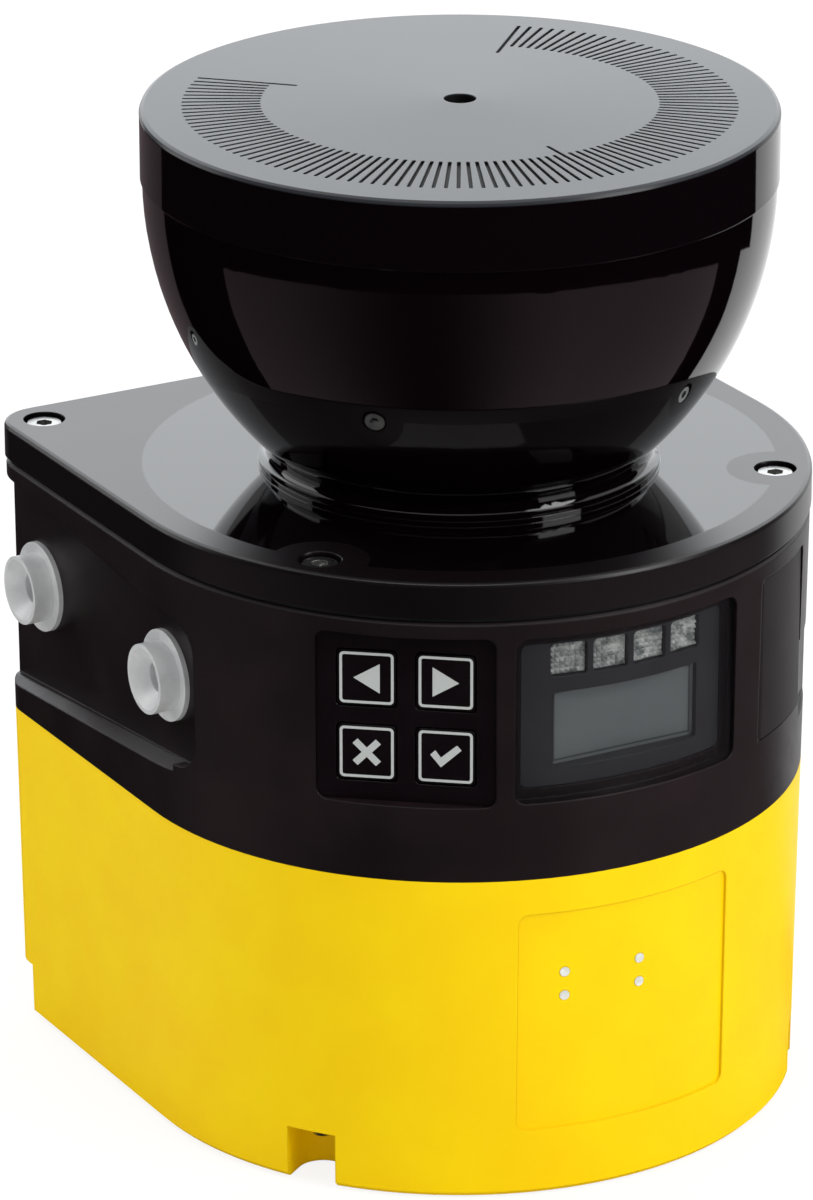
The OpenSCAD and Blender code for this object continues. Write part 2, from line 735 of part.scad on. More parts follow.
module service_flap() color([0.09, 0.085, 0.085]) at_angle(flap_angle, panel_z) difference() {
    union() {
        flap_body();
        facing(6.4, 2.8, 0.6, flap_floor - 0.9, flap_out - flap_t + 0.3);
    }
    translate([flap_pin_x, -flap_pin_d, -flap_h]) cylinder(r = flap_pin_r + run, h = 2 * flap_h, $fn = 32);
}

module flap_pin() color(silver) at_angle(flap_angle, panel_z)
    translate([flap_pin_x, -flap_pin_d, -flap_h / 2 - 2]) cylinder(r = flap_pin_r, h = flap_h + 4, $fn = 32);

// Five-pole socket for a service cable, upright on its own small board
module service_socket() color(silver) at_angle(flap_angle, panel_z) {
    difference() {
        facing(8.8, 5.2, 0.6, socket_back, flap_floor - 1.5);
        facing(7.8, 4.2, 0.4, socket_back + 0.6, body_r);
    }
    facing(5.6, 1.2, 0.3, socket_back + 0.5, flap_floor - 2);
}

module service_board() color(board_green) at_angle(flap_angle, panel_z)
    facing(socket_w + 3.4, socket_h + 4, 1, socket_back - board_t, socket_back);

// ---------- boards in the hood ----------

board_r = body_r - 12;
power_z = 18;
main_z = hood_h - 4.7;
spacer_r = 2.6;
spacer_places = [for (p = [[-36, -14], [36, -14], [-22, -33], [22, -33]]) p * board_r / 44];
front_of_bay = body_r - back_in - bay_y - bay_wall;

module board_outline(rear) intersection() {
    circle(board_r);
    translate([-board_r, -board_r]) square([2 * board_r, board_r + rear]);
}

module board_holes() for (p = spacer_places) translate(p) circle(1.6, $fn = 32);

module power_board() color(board_green) translate([0, 0, power_z]) linear_extrude(board_t) difference() {
    board_outline(front_of_bay - 1);
    board_holes();
}

module main_board() color(board_green) translate([0, 0, main_z]) linear_extrude(board_t) difference() {
    board_outline(board_r);
    board_holes();
}

module at_spacers(z) for (p = spacer_places) translate([p[0], p[1], z]) children();

module board_spacers() color(silver) {
    at_spacers(hood_floor) difference() {
        cylinder(r = spacer_r, h = power_z - hood_floor, $fn = 6);
        translate([0, 0, power_z - hood_floor - 5]) cylinder(r = 1.25, h = 6, $fn = 32);
    }
    at_spacers(power_z + board_t) difference() {
        cylinder(r = spacer_r, h = main_z - power_z - board_t, $fn = 6);
        translate([0, 0, main_z - power_z - board_t - 5]) cylinder(r = 1.25, h = 6, $fn = 32);
    }
    at_spacers(power_z - 4.5) cylinder(r = 1.2, h = 4.5 + board_t + 0.5, $fn = 32);
}

module board_screws() color(silver) at_spacers(main_z + board_t)
    socket_screw(1.2, 2.2, 1.6, board_t + 4);

network_d = body_r - 18;
network_w = 34;
network_h = 22;
network_z = power_z + board_t + network_h / 2;

module network_board() color(board_green) at_angle(0, network_z)
    facing(network_w, network_h, 1, network_d - board_t, network_d);

module network_light_pipes() color([0.92, 0.93, 0.9]) intersection() {
    at_dots() translate([0, 0, network_d + 1.5]) cylinder(r = dot_r, h = body_r, $fn = 32);
    drafted(hood_floor, hood_h, label_depth - 0.1);
}

// ---------- system plug in the rear bay ----------

plug_gap = 0.4;
plug_z = 20;
plug_w = bay_w - 2 * plug_gap;
plug_y = back_y - bay_y + plug_gap;
plug_screw_r = 1.25;
plug_seal_t = 0.8;
plug_screw_in = 5;
connector_pitch = bay_w / 2 - connector_side;
seal_y = 16;

module at_plug_screws() for (s = [-1, 1])
    translate([s * (bay_w / 2 - plug_screw_in), back_y - bay_y + 6, bay_h]) children();

module at_connectors(places) for (i = places)
    translate([i * connector_pitch, back_y - bay_y / 2 - 0.5, plug_z])
    mirror([0, 0, 1]) children();

module system_plug() color([0.12, 0.12, 0.12]) difference() {
    intersection() {
        translate([-plug_w / 2, plug_y, plug_z]) cube([plug_w, bay_y + 5, bay_h - plug_z - plug_seal_t]);
        drafted(plug_z - 1, bay_h, 0.2);
    }
    at_connectors([-1:1]) translate([0, 0, -12]) cylinder(r = connector_r + 1.5 + run, h = 13);
    at_plug_screws() mirror([0, 0, 1]) {
        cylinder(r = plug_screw_r + 0.2, h = 60, $fn = 32);
        translate([0, 0, bay_h - plug_z - 3.5]) cylinder(r = 2.6, h = 20, $fn = 32);
    }
}

module plug_seal() color([0.15, 0.15, 0.15]) translate([0, 0, bay_h - plug_seal_t])
    linear_extrude(plug_seal_t) difference() {
        translate([-plug_w / 2 + 1, plug_y + 1]) square([plug_w - 2, seal_y]);
        translate([-connector_pitch, plug_y + 2.2]) square([2 * connector_pitch, seal_y - 5]);
        for (s = [-1, 1]) translate([s * (bay_w / 2 - plug_screw_in), back_y - bay_y + 6])
            circle(plug_screw_r + 0.3, $fn = 32);
    }

module plug_screws() color(silver) at_plug_screws()
    translate([0, 0, -(bay_h - plug_z - 3.5)]) mirror([0, 0, 1])
    socket_screw(plug_screw_r - run, 2.3, 2, bay_h - plug_z - 3.5 + 1.8);

// Round connectors stand on the plug's underside and point down
module connector_shell(bore_r, thread_out) difference() {
    union() {
        translate([0, 0, -11.9]) cylinder(r = connector_r + 1.5, h = 11.9);
        cylinder(r = connector_r + 3, h = 1.5, $fn = 6);
        cylinder(r = thread_out, h = connector_len);
    }
    translate([0, 0, 1]) cylinder(r = bore_r, h = connector_len);
}

module power_connector() color(silver) at_connectors([-1]) connector_shell(connector_r - 1.4, connector_r);
module network_connector_1() color(silver) at_connectors([0])
    connector_shell(connector_r, connector_r + 1.4);
module network_connector_2() color(silver) at_connectors([1])
    connector_shell(connector_r, connector_r + 1.4);

module power_pins() color([0.8, 0.65, 0.25]) at_connectors([-1]) translate([0, 0, 1]) {
    cylinder(r = 0.5, h = 7, $fn = 24);
    for (a = [45:90:315]) rotate(a) translate([2.6, 0, 0]) cylinder(r = 0.5, h = 7, $fn = 24);
}

module network_contacts() color([0.1, 0.1, 0.1]) at_connectors([0, 1]) translate([0, 0, 1]) difference() {
    cylinder(r = connector_r - 1.9, h = 7);
    for (a = [45:90:315]) rotate(a) translate([2.3, 0, 2]) cylinder(r = 0.55, h = 6, $fn = 24);
}

// ---------- scanner unit ----------

carrier_z = ledge_z;
carrier_t = 2.5;
carrier_r = ledge_in + 1;
carrier_ear = pocket_x - wall - 0.5;
hub_r = bearing_r + 2;
bearing_low_z = carrier_z + carrier_t;
bearing_high_z = waist_z + 1;
carrier_screw_x = (ledge_in + carrier_ear) / 2;
carrier_screw_y = ledge_half - 4.5;
pillar_out = waist_r - bowl_t - 1.6;
pillar_in = pillar_out - 3.1;
pillar_half = 20;
bridge_z = seam_z - 1;
bridge_t = 3;

module at_carrier_screws() for (x = [-1, 1], y = [-1, 1])
    translate([x * carrier_screw_x, y * carrier_screw_y, 0]) children();

module carrier_screw_holes() at_carrier_screws() translate([0, 0, ledge_z - 4])
    cylinder(r = 1.2, h = 5, $fn = 32);

module motor_carrier() color([0.6, 0.6, 0.6]) difference() {
    union() {
        translate([0, 0, carrier_z]) cylinder(r = carrier_r, h = carrier_t);
        translate([-carrier_ear, -ledge_half + 0.5, carrier_z])
            cube([2 * carrier_ear, 2 * ledge_half - 1, carrier_t]);
        translate([0, 0, carrier_z]) cylinder(r = hub_r, h = bearing_high_z + bearing_h - carrier_z);
    }
    translate([0, 0, carrier_z - 1])
        cylinder(r = shaft_r + 1, h = bearing_high_z + bearing_h - carrier_z + 2);
    translate([0, 0, bearing_low_z - carrier_t - 1]) cylinder(r = bearing_r, h = bearing_h + carrier_t + 1);
    translate([0, 0, bearing_high_z]) cylinder(r = bearing_r, h = bearing_h + 1);
    at_carrier_screws() translate([0, 0, carrier_z - 1]) cylinder(r = 1.5, h = 5, $fn = 32);
    translate([0, 0, carrier_z - 1]) linear_extrude(5) ring_sector(pillar_out + 2, pillar_in - 1, 14);
}

module carrier_screws() color(silver) at_carrier_screws() translate([0, 0, carrier_z + carrier_t])
    socket_screw(1.17, 2.2, 1.8, carrier_t + 3);

module bearing() tube(bearing_r - 0.01, shaft_r + run, bearing_h);
module bearing_lower() color(silver) translate([0, 0, bearing_low_z]) bearing();
module bearing_upper() color(silver) translate([0, 0, bearing_high_z]) bearing();

stator_r = rotor_r - 4.4;
stator_z = bearing_low_z + bearing_h + 0.5;
stator_h = bearing_high_z - stator_z - 0.6;
tooth_count = 9;

// Laminated core with nine teeth, and a coil on each tooth
module motor_stator() color([0.72, 0.42, 0.2]) translate([0, 0, stator_z]) {
    linear_extrude(stator_h) difference() {
        union() {
            circle(hub_r + 1.8);
            for (i = [0:tooth_count - 1]) rotate(i * 360 / tooth_count) {
                translate([hub_r + 0.5, -0.9]) square([stator_r - hub_r - 1, 1.8]);
                intersection() {
                    difference() { circle(stator_r); circle(stator_r - 0.9); }
                    translate([hub_r, -3.4]) square([stator_r, 6.8]);
                }
            }
        }
        circle(hub_r + 0.02);
    }
    for (i = [0:tooth_count - 1]) rotate(i * 360 / tooth_count)
        translate([hub_r + 1.6, -1.7, 0.8]) cube([stator_r - hub_r - 2.8, 3.4, stator_h - 1.6]);
}

cup_top = bearing_high_z + bearing_h + 1;
magnet_t = 2;

// Outer rotor: a cup that hangs over the stator and is fixed to the shaft
module rotor_cup() color([0.5, 0.5, 0.52]) {
    translate([0, 0, stator_z]) tube(rotor_r, rotor_r - 1.2, cup_top - stator_z + 0.5);
    translate([0, 0, cup_top]) tube(rotor_r, shaft_r + 0.01, 1.5);
    translate([0, 0, cup_top]) tube(shaft_r + 3, shaft_r + 0.01, 4);
}

module rotor_magnet() color([0.2, 0.2, 0.22]) translate([0, 0, stator_z + 0.5])
    tube(rotor_r - 1.22, rotor_r - 1.2 - magnet_t, stator_h - 1);

holder_z = cup_top + 4;

module motor_shaft() color(silver) translate([0, 0, bearing_low_z - 1])
    cylinder(r = shaft_r, h = holder_z - bearing_low_z + 1);

mirror_t = 2;

// The mirror leans at 45 degrees on a turned holder
module mirror_plane(from, to) translate([0, 0, mirror_z]) rotate([45, 0, 0])
    translate([-2 * mirror_r, -4 * mirror_r, from]) cube([4 * mirror_r, 8 * mirror_r, to - from]);

module mirror_holder() color([0.12, 0.12, 0.12]) difference() {
    translate([0, 0, holder_z]) cylinder(r = mirror_r, h = mirror_z - holder_z + mirror_r);
    mirror_plane(-mirror_t / 2, 5 * mirror_r);
    // balancing pocket in the heavy side
    translate([0, mirror_r / 2, holder_z + 4]) cylinder(r = 5, h = 4 * mirror_r);
}

module scan_mirror() color([0.85, 0.88, 0.9]) intersection() {
    translate([0, 0, holder_z]) cylinder(r = mirror_r - 0.3, h = 4 * mirror_r);
    mirror_plane(-mirror_t / 2, mirror_t / 2);
}

code_z = cup_top - 2.4;
code_r = pillar_in - 1.4;

module code_disc() color([0.55, 0.57, 0.6]) translate([0, 0, code_z]) difference() {
    cylinder(r = code_r, h = 0.6);
    translate([0, 0, -1]) cylinder(r = rotor_r + 0.01, h = 3);
    for (i = [0:35]) rotate(i * 10) translate([code_r - 1.6, -0.5, -1]) cube([1, 1, 3]);
}

// Fork light barrier on the pillar, astride the code disc
module code_reader() color([0.1, 0.1, 0.1]) translate([0, 0, code_z - 3.2]) difference() {
    linear_extrude(7) ring_sector(pillar_in - 0.01, rotor_r + 0.7, 9);
    translate([0, 0, 3.2 - 0.5]) linear_extrude(1.6) ring_sector(code_r + 0.5, rotor_r - 2, 20);
}

// Part of a ring, centred on the back
module ring_sector(r_out, r_in, half) intersection() {
    difference() { circle(r_out); circle(r_in); }
    polygon([[0, 0], [-60 * tan(half), 60], [60 * tan(half), 60]]);
}

// Behind the blind sector of the head, a pillar carries the optics and their cable
module head_pillar() color([0.5, 0.5, 0.5]) difference() {
    translate([0, 0, carrier_z + carrier_t]) linear_extrude(bridge_z - carrier_z - carrier_t)
        ring_sector(pillar_out, pillar_in, pillar_half);
    translate([0, 0, carrier_z]) linear_extrude(bridge_z)
        ring_sector(pillar_out - 1, pillar_in + 1, 6);
}

bridge_r = head_r - cap_t - 2.5;

module optics_bridge() color([0.55, 0.55, 0.56]) translate([0, 0, bridge_z]) difference() {
    union() {
        intersection() {
            cylinder(r = bridge_r, h = bridge_t);
            translate([-lens_r - 6, -lens_r - 6, -1]) cube([2 * lens_r + 12, bridge_r + lens_r + 6, 20]);
        }
        translate([0, 0, bridge_t - eps]) tube(lens_r + 2.5, lens_r - 1, lens_ring_h + eps);
    }
    translate([0, 0, -1]) cylinder(r = lens_r + 0.02, h = 3.5);
    translate([0, 0, -1]) cylinder(r = lens_r - 2, h = 20);
}

laser_r = 4;
lens_flat = 3.5;
lens_arc = 1.4 * lens_r;

// Plano-convex lens with a hole in the middle for the laser
module receiver_lens() color([0.85, 0.9, 0.95, 0.5]) translate([0, 0, bridge_z - 1]) difference() {
    union() {
        cylinder(r = lens_r, h = lens_flat);
        intersection() {
            cylinder(r = lens_r - 2.2, h = 12);
            translate([0, 0, 6.8 - lens_arc]) sphere(r = lens_arc);
        }
    }
    translate([0, 0, -1]) cylinder(r = laser_r + 0.02, h = 30);
}

module laser_module() color([0.7, 0.6, 0.35]) translate([0, 0, bridge_z - 1.5]) difference() {
    cylinder(r = laser_r, h = receiver_z - bridge_z + 1.5);
    translate([0, 0, -1]) cylinder(r = 2.2, h = 3);
}

lens_ring_h = 3.5;
receiver_z = bridge_z + bridge_t + lens_ring_h;

module receiver_board() color(board_green) translate([0, 0, receiver_z])
    cylinder(r = lens_r + 4, h = board_t);

// ---------- parts ----------

main_housing();
yellow_hood();
hood_seal();
hood_screws();
optics_cover();
cover_seal();
cover_screws();
head_cap();
side_sleeves();
display_window();
display_frame();
status_lens_1();
status_lens_2();
status_lens_3();
status_lens_4();
lcd_module();
display_board();
keypad_frame();
key_left();
key_right();
key_cancel();
key_confirm();
keypad_mat();
keypad_board();
service_flap();
flap_pin();
service_socket();
service_board();
network_light_pipes();
network_board();
power_board();
main_board();
board_spacers();
board_screws();
system_plug();
plug_seal();
plug_screws();
power_connector();
power_pins();
network_connector_1();
network_connector_2();
network_contacts();
motor_carrier();
carrier_screws();
motor_stator();
bearing_lower();
bearing_upper();
rotor_cup();
rotor_magnet();
motor_shaft();
mirror_holder();
scan_mirror();
code_disc();
code_reader();
head_pillar();
optics_bridge();
receiver_lens();
laser_module();
receiver_board();
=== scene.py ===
import json
import math

import bmesh
import bpy
from mathutils import Matrix, Vector

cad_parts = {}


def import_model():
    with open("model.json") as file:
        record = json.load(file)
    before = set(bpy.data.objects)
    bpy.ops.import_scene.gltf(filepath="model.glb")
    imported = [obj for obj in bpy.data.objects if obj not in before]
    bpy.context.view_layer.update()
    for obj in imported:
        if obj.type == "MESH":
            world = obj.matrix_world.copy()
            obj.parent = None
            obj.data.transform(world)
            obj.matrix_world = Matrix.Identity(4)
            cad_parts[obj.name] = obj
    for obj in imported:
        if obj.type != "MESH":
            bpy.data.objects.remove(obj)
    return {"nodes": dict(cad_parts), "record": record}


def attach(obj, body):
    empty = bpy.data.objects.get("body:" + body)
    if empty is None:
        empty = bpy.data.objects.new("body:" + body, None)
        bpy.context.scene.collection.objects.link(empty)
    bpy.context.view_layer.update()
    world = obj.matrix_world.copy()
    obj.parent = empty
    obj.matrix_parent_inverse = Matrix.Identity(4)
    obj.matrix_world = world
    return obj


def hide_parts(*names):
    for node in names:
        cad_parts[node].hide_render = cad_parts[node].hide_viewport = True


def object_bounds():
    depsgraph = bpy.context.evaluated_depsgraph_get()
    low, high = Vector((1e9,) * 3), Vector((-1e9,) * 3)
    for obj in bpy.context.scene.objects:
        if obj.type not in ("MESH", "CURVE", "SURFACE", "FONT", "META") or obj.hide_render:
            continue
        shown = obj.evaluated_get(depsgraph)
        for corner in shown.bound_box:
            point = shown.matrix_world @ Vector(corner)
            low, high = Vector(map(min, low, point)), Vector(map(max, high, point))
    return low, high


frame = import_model()
CAD_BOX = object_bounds()
NODES = frame["nodes"]
SLOT_OF = {part["node"]: part["material_slot"] for part in frame["record"]["subparts"]}
MM = 0.001

# Places on the object that finishes and added pieces share, in millimetres.
LAND_RADIUS = 50.3          # polished round land on the cover plate
PLATE_TOP = 104.4           # from here up the cover is polished all over
POST_X, POST_Y = 41.02, -28.94
POST_RADIUS = 7.8           # matte pad round a front cover screw
CAP_RIM = 161.55            # edge between the cap's side and its top
CAP_CREST = 163.05          # the cap's top at its middle
CAP_SLOPE = 0.018
SCALE_RADIUS = 44.6         # the bearing scale lies inside this
SLEEVE_PITCH, SLEEVE_HEIGHT = 44, 76.9
SLEEVE_THREAD_X = 46.2      # where the threads in the sleeves start
REAR_THREAD_X = 26
REAR_THREAD_ROWS = ((47.1, 64), (47.4, 88))     # where each row starts, and its height
COIL_LOW, COIL_HIGH = 98.7, 106.3
LCD_MIDDLE = 78.0
LCD_LINE_X, LCD_LINE_Z = 12.15, 5.55
PANEL_HEIGHT = 80.6         # middle of the keypad
LENS_RADIUS, LENS_HEIGHT, LENS_TURN = 52.1, 89.4, 7.5
CONNECTOR_X, CONNECTOR_Y, CONNECTOR_TIP = 24, 42.1, 10.4


def srgb(red, green, blue):
    """Linear colour from the usual 0 to 255 steps."""
    def channel(v):
        v /= 255
        return v / 12.92 if v <= 0.04045 else ((v + 0.055) / 1.055) ** 2.4
    return (channel(red), channel(green), channel(blue), 1.0)


# ---------------------------------------------------------------- finishes

class Wire:
    """One socket of a tree. Arithmetic on it adds Math nodes."""

    def __init__(self, tree, socket):
        self.tree, self.socket = tree, socket

    def math(self, how, *others):
        values = dict(enumerate((self,) + others))
        return self.tree.add("ShaderNodeMath", {"operation": how}, values)

    def under(self, how, first):
        """The same with this socket as the second value."""
        return self.tree.add("ShaderNodeMath", {"operation": how}, {0: first, 1: self})

    def __add__(self, other): return self.math("ADD", other)
    def __radd__(self, other): return self.math("ADD", other)
    def __mul__(self, other): return self.math("MULTIPLY", other)
    def __rmul__(self, other): return self.math("MULTIPLY", other)
    def __sub__(self, other): return self.math("SUBTRACT", other)
    def __truediv__(self, other): return self.math("DIVIDE", other)
    def __pow__(self, other): return self.math("POWER", other)
    def __neg__(self): return self.math("MULTIPLY", -1.0)
    def __rsub__(self, other): return self.under("SUBTRACT", other)
    def __rtruediv__(self, other): return self.under("DIVIDE", other)

    def rise(self, start, end):
        """0 below start, 1 above end, smooth between."""
        return self.tree.add("ShaderNodeMapRange", {"interpolation_type": "SMOOTHSTEP"},
                             {"Value": self, "From Min": start, "From Max": end})

    def other(self, name):
        """Another output of the node that this socket belongs to."""
        return Wire(self.tree, self.socket.node.outputs[name])


class Tree:
    """A node tree, and the one way that nodes get into it."""

    def __init__(self, tree):
        self.tree = tree
        tree.nodes.clear()

    def add(self, kind, settings=None, sockets=None, out=0):
        """One node: its settings first, then the values or links of its sockets, where a list
        means several links into one socket. Returns one output."""
        node = self.tree.nodes.new(kind)
        for name, value in (settings or {}).items():
            setattr(node, name, value)
        for name, value in (sockets or {}).items():
            for wire in value if isinstance(value, list) else [value]:
                if isinstance(wire, Wire):
                    self.tree.links.new(wire.socket, node.inputs[name])
                else:
                    node.inputs[name].default_value = wire
        return Wire(self, node.outputs[out]) if node.outputs else None

    def seen(self):
        """1 for rays that show the background: from the camera, in reflections, through glass."""
        camera = self.add("ShaderNodeLightPath")
        by_gloss, through = camera.other("Is Glossy Ray"), camera.other("Is Transmission Ray")
        return camera.math("MAXIMUM", by_gloss).math("MAXIMUM", through)


class Finish(Tree):
    """A material and its tree."""

    def __init__(self, name):
        self.material = bpy.data.materials.new(name)
        self.material.use_nodes = True
        super().__init__(self.material.node_tree)

    def spot(self, centre=(0, 0, 0), turn=(0, 0, 0)):
        """Object coordinates, centred and turned by a Mapping node."""
        place = self.add("ShaderNodeTexCoord").other("Object")
        return self.add("ShaderNodeMapping", {"vector_type": "TEXTURE"},
                        {"Vector": place, "Location": centre, "Rotation": turn})

    def axes(self, vector):
        """The three coordinates of a vector."""
        split = self.add("ShaderNodeSeparateXYZ", None, {"Vector": vector})
        return split, split.other("Y"), split.other("Z")

    def grain(self, size_mm, detail=2.0, roughness=0.5, seed=0.0):
        """Noise with features about this many millimetres across."""
        return self.add("ShaderNodeTexNoise", {"noise_dimensions": "4D"},
                        {"Vector": self.spot(), "W": seed, "Scale": 1.0 / (size_mm * MM),
                         "Detail": detail, "Roughness": roughness})

    def pebbles(self, size_mm):
        """Rounded cells about this many millimetres across."""
        return self.add("ShaderNodeTexVoronoi", {"feature": "SMOOTH_F1"},
                        {"Vector": self.spot(), "Scale": 1.0 / (size_mm * MM), "Smoothness": 0.8})

    def rings(self, along, per_metre):
        """Fine marks that repeat along one value."""
        return self.add("ShaderNodeTexNoise", {"noise_dimensions": "1D"},
                        {"W": along * per_metre, "Scale": 1.0, "Detail": 2.0})

    def mix(self, share, first, second):
        """A colour between two others."""
        return self.add("ShaderNodeMix", {"data_type": "RGBA"},
                        {0: share, 6: first, 7: second}, out=2)

    def between(self, share, first, second):
        """A number between two others."""
        return share * (second - first) + first

    def relief(self, height, depth_mm, strength=1.0, edge_mm=0.0):
        """A Bump node; with an edge width, corners read as slightly broken."""
        sockets = {"Height": height, "Distance": depth_mm * MM, "Strength": strength}
        if edge_mm:
            sockets["Normal"] = self.broken_edges(edge_mm)
        return self.add("ShaderNodeBump", None, sockets)

    def broken_edges(self, edge_mm):
        """A normal that is softened this far in from each edge."""
        return self.add("ShaderNodeBevel", {"samples": 4}, {"Radius": edge_mm * MM})

    def surface(self, **sockets):
        """The Principled surface and the output; names are the sockets' with _ for spaces."""
        named = {name.replace("_", " "): value for name, value in sockets.items()}
        shader = self.add("ShaderNodeBsdfPrincipled", None, named)
        self.add("ShaderNodeOutputMaterial", None, {"Surface": shader})
        return self.material


def powder_coat(name, dark, light, rough, size_mm, depth_mm, edge_mm, ior):
    """Baked powder coat: soft pebbles with a slight change of tone."""
    f = Finish(name)
    skin = f.pebbles(size_mm) * 0.6 + f.grain(size_mm * 1.6, 3) * 0.5
    tone = f.grain(14, 3, seed=2.0).rise(0.3, 0.75)
    return f.surface(Base_Color=f.mix(tone, dark, light),
                     Roughness=f.between(f.grain(3, 2, seed=5.0), rough - 0.05, rough + 0.05),
                     Normal=f.relief(skin, depth_mm, 0.35, edge_mm), IOR=ior)


def housing_finish():
    """Brown-black coat of the cast housing."""
    return powder_coat("black_powder_coat", srgb(22, 12, 15), srgb(31, 20, 23), 0.42,
                       size_mm=0.6, depth_mm=0.035, edge_mm=0.4, ior=1.4)


def hood_finish():
    """Signal yellow coat of the hood."""
    return powder_coat("yellow_powder_coat", srgb(252, 210, 0), srgb(254, 217, 0), 0.46,
                       size_mm=0.45, depth_mm=0.012, edge_mm=0.35, ior=1.2)


def cover_finish():
    """Matte plate, with a polished round land under the head and a polished bowl."""
    f = Finish("optics_cover_black")
    x, y, z = f.axes(f.spot())
    from_axis = (x * x + y * y) ** 0.5
    polished = 1 - from_axis.rise((LAND_RADIUS - 0.2) * MM, (LAND_RADIUS + 0.2) * MM)
    for side in (-1, 1):
        post = ((x - side * POST_X * MM) ** 2 + (y - POST_Y * MM) ** 2) ** 0.5
        polished = polished * post.rise((POST_RADIUS - 0.2) * MM, (POST_RADIUS + 0.2) * MM)
    high = z.rise((PLATE_TOP - 0.2) * MM, (PLATE_TOP + 0.2) * MM)
    polished = polished.math("MAXIMUM", high)
    skin = f.grain(0.3, 3) * (1 - polished)
    return f.surface(Base_Color=f.mix(polished, srgb(13, 7, 10), srgb(7, 3, 5)),
                     Roughness=f.between(polished, 0.32, 0.035) + f.grain(9, 2, seed=3.0) * 0.015,
                     Normal=f.relief(skin, 0.015, 0.4, 0.3), IOR=1.52)


def cap_finish():
    """Satin top with fine grain and a painted sheen that colours it dark grey, glossy black side,
    and dull marks of the bearing scale.
    """
    f = Finish("head_cap_black")
    x, y, z = f.axes(f.spot())
    from_axis = (x * x + y * y) ** 0.5
    top = z.rise((CAP_RIM - 0.15) * MM, (CAP_RIM + 0.15) * MM)
    under_top = z + from_axis * CAP_SLOPE - CAP_CREST * MM
    slot = 1 - under_top.rise(-0.22 * MM, -0.08 * MM)
    slot = slot * top * (1 - from_axis.rise((SCALE_RADIUS - 0.2) * MM, (SCALE_RADIUS + 0.2) * MM))
    # the satin top: its grain and roughness are real, and it also carries the painted sheen in its
    # colour
    satin_and_sheen = top * (1 - slot)
    skin = f.grain(0.22, 3) * satin_and_sheen
    # painted sheen: the top is coloured dark grey, lighter than the black side, to stand in for the
    # bright surroundings that it reflects
    plain = f.mix(satin_and_sheen, srgb(9, 5, 7), srgb(42, 44, 48))
    return f.surface(Base_Color=f.mix(slot, plain, srgb(9, 7, 8)),
                     Roughness=f.between(satin_and_sheen, 0.045, 0.3) + slot * 0.6,
                     Normal=f.relief(skin, 0.012, 0.4, 0.25), IOR=1.36)


def metal(name, colour, dark, rough, edge_mm=0.12, turned=None, matte=0.0):
    """Bare metal with fine tool marks. turned gives the marks of a lathe, and matte is the
    share of the surface that scatters light as a blasted and anodised one does."""
    f = Finish(name)
    marks = f.grain(1.2, 4, 0.65)
    if turned:
        marks = turned(f) * 0.6 + marks * 0.4
    tone = f.grain(4, 3, seed=4.0).rise(0.25, 0.8)
    return f.surface(Base_Color=f.mix(tone, dark, colour), Metallic=1.0 - matte,
                     Roughness=f.between(marks, rough - 0.08, rough + 0.1),
                     Normal=f.relief(marks, 0.01, 0.4, edge_mm))


def round_sleeves(f):
    """Rings round each sleeve's own axis."""
    x, y, z = f.axes(f.spot())
    between = SLEEVE_PITCH / 2
    near = y - y.rise((between - 0.1) * MM, (between + 0.1) * MM) * (SLEEVE_PITCH * MM)
    radius = (near * near + (z - SLEEVE_HEIGHT * MM) ** 2) ** 0.5
    return f.rings(radius, 9000.0)


def round_axis(f):
    """Rings round the scan head's axis, which step on along it."""
    x, y, z = f.axes(f.spot())
    radius = (x * x + y * y) ** 0.5
    return f.rings(radius + z * (2 / 3), 6000.0)


def plastic(name, dark, light, rough, size_mm=0.4, depth_mm=0.01, edge_mm=0.15):
    """Moulded plastic with a fine grain."""
    f = Finish(name)
    skin = f.grain(size_mm, 3)
    tone = f.grain(7, 2, seed=1.0).rise(0.3, 0.7)
    return f.surface(Base_Color=f.mix(tone, dark, light),
                     Roughness=f.between(skin, rough - 0.04, rough + 0.04),
                     Normal=f.relief(skin, depth_mm, 0.4, edge_mm), IOR=1.48)


def rubber(name):
    """Dull black rubber for seals and the key mat."""
    return plastic(name, srgb(20, 20, 20), srgb(27, 27, 26), 0.72,
                   size_mm=0.25, depth_mm=0.02, edge_mm=0.2)


def smoked_pane():
    """Tinted clear plastic with faint sweeps from moulding."""
    f = Finish("smoked_pane")
    flow = f.grain(11, 2)
    return f.surface(Base_Color=f.mix(flow.rise(0.3, 0.7), srgb(20, 20, 23), srgb(28, 29, 32)),
                     Roughness=f.between(flow, 0.03, 0.05), Alpha=f.between(flow, 0.2, 0.23),
                     Normal=f.relief(flow, 0.002, 0.2, 0.3), IOR=1.49)


def clear_plastic(name, shaded, colour, rough, alpha=1.0, size_mm=1.0):
    """Milky or clear moulding; the haze inside it changes its tone."""
    f = Finish(name)
    haze = f.grain(size_mm, 4, 0.6)
    return f.surface(Base_Color=f.mix(haze.rise(0.35, 0.65), shaded, colour),
                     Roughness=f.between(haze, rough, rough + 0.12), Alpha=alpha,
                     Normal=f.relief(haze, 0.01, 0.3, 0.12))


def circuit_board():
    """Solder mask with copper tracks showing through and small pads."""
    f = Finish("circuit_board")
    tracks = f.add("ShaderNodeTexBrick", {"offset": 0.37},
                   {"Vector": f.spot(), "Scale": 260.0, "Mortar Size": 0.06,
                    "Brick Width": 1.9, "Row Height": 0.34})
    pads = 1 - f.pebbles(1.9).rise(0.16, 0.2)
    mask = f.mix(tracks.other("Fac"), srgb(16, 74, 44), srgb(34, 104, 62))
    return f.surface(Base_Color=f.mix(pads, mask, srgb(196, 178, 120)), Metallic=pads * 0.8,
                     Roughness=f.between(pads, 0.38, 0.3),
                     Normal=f.relief(tracks.other("Fac"), 0.03, 0.4))


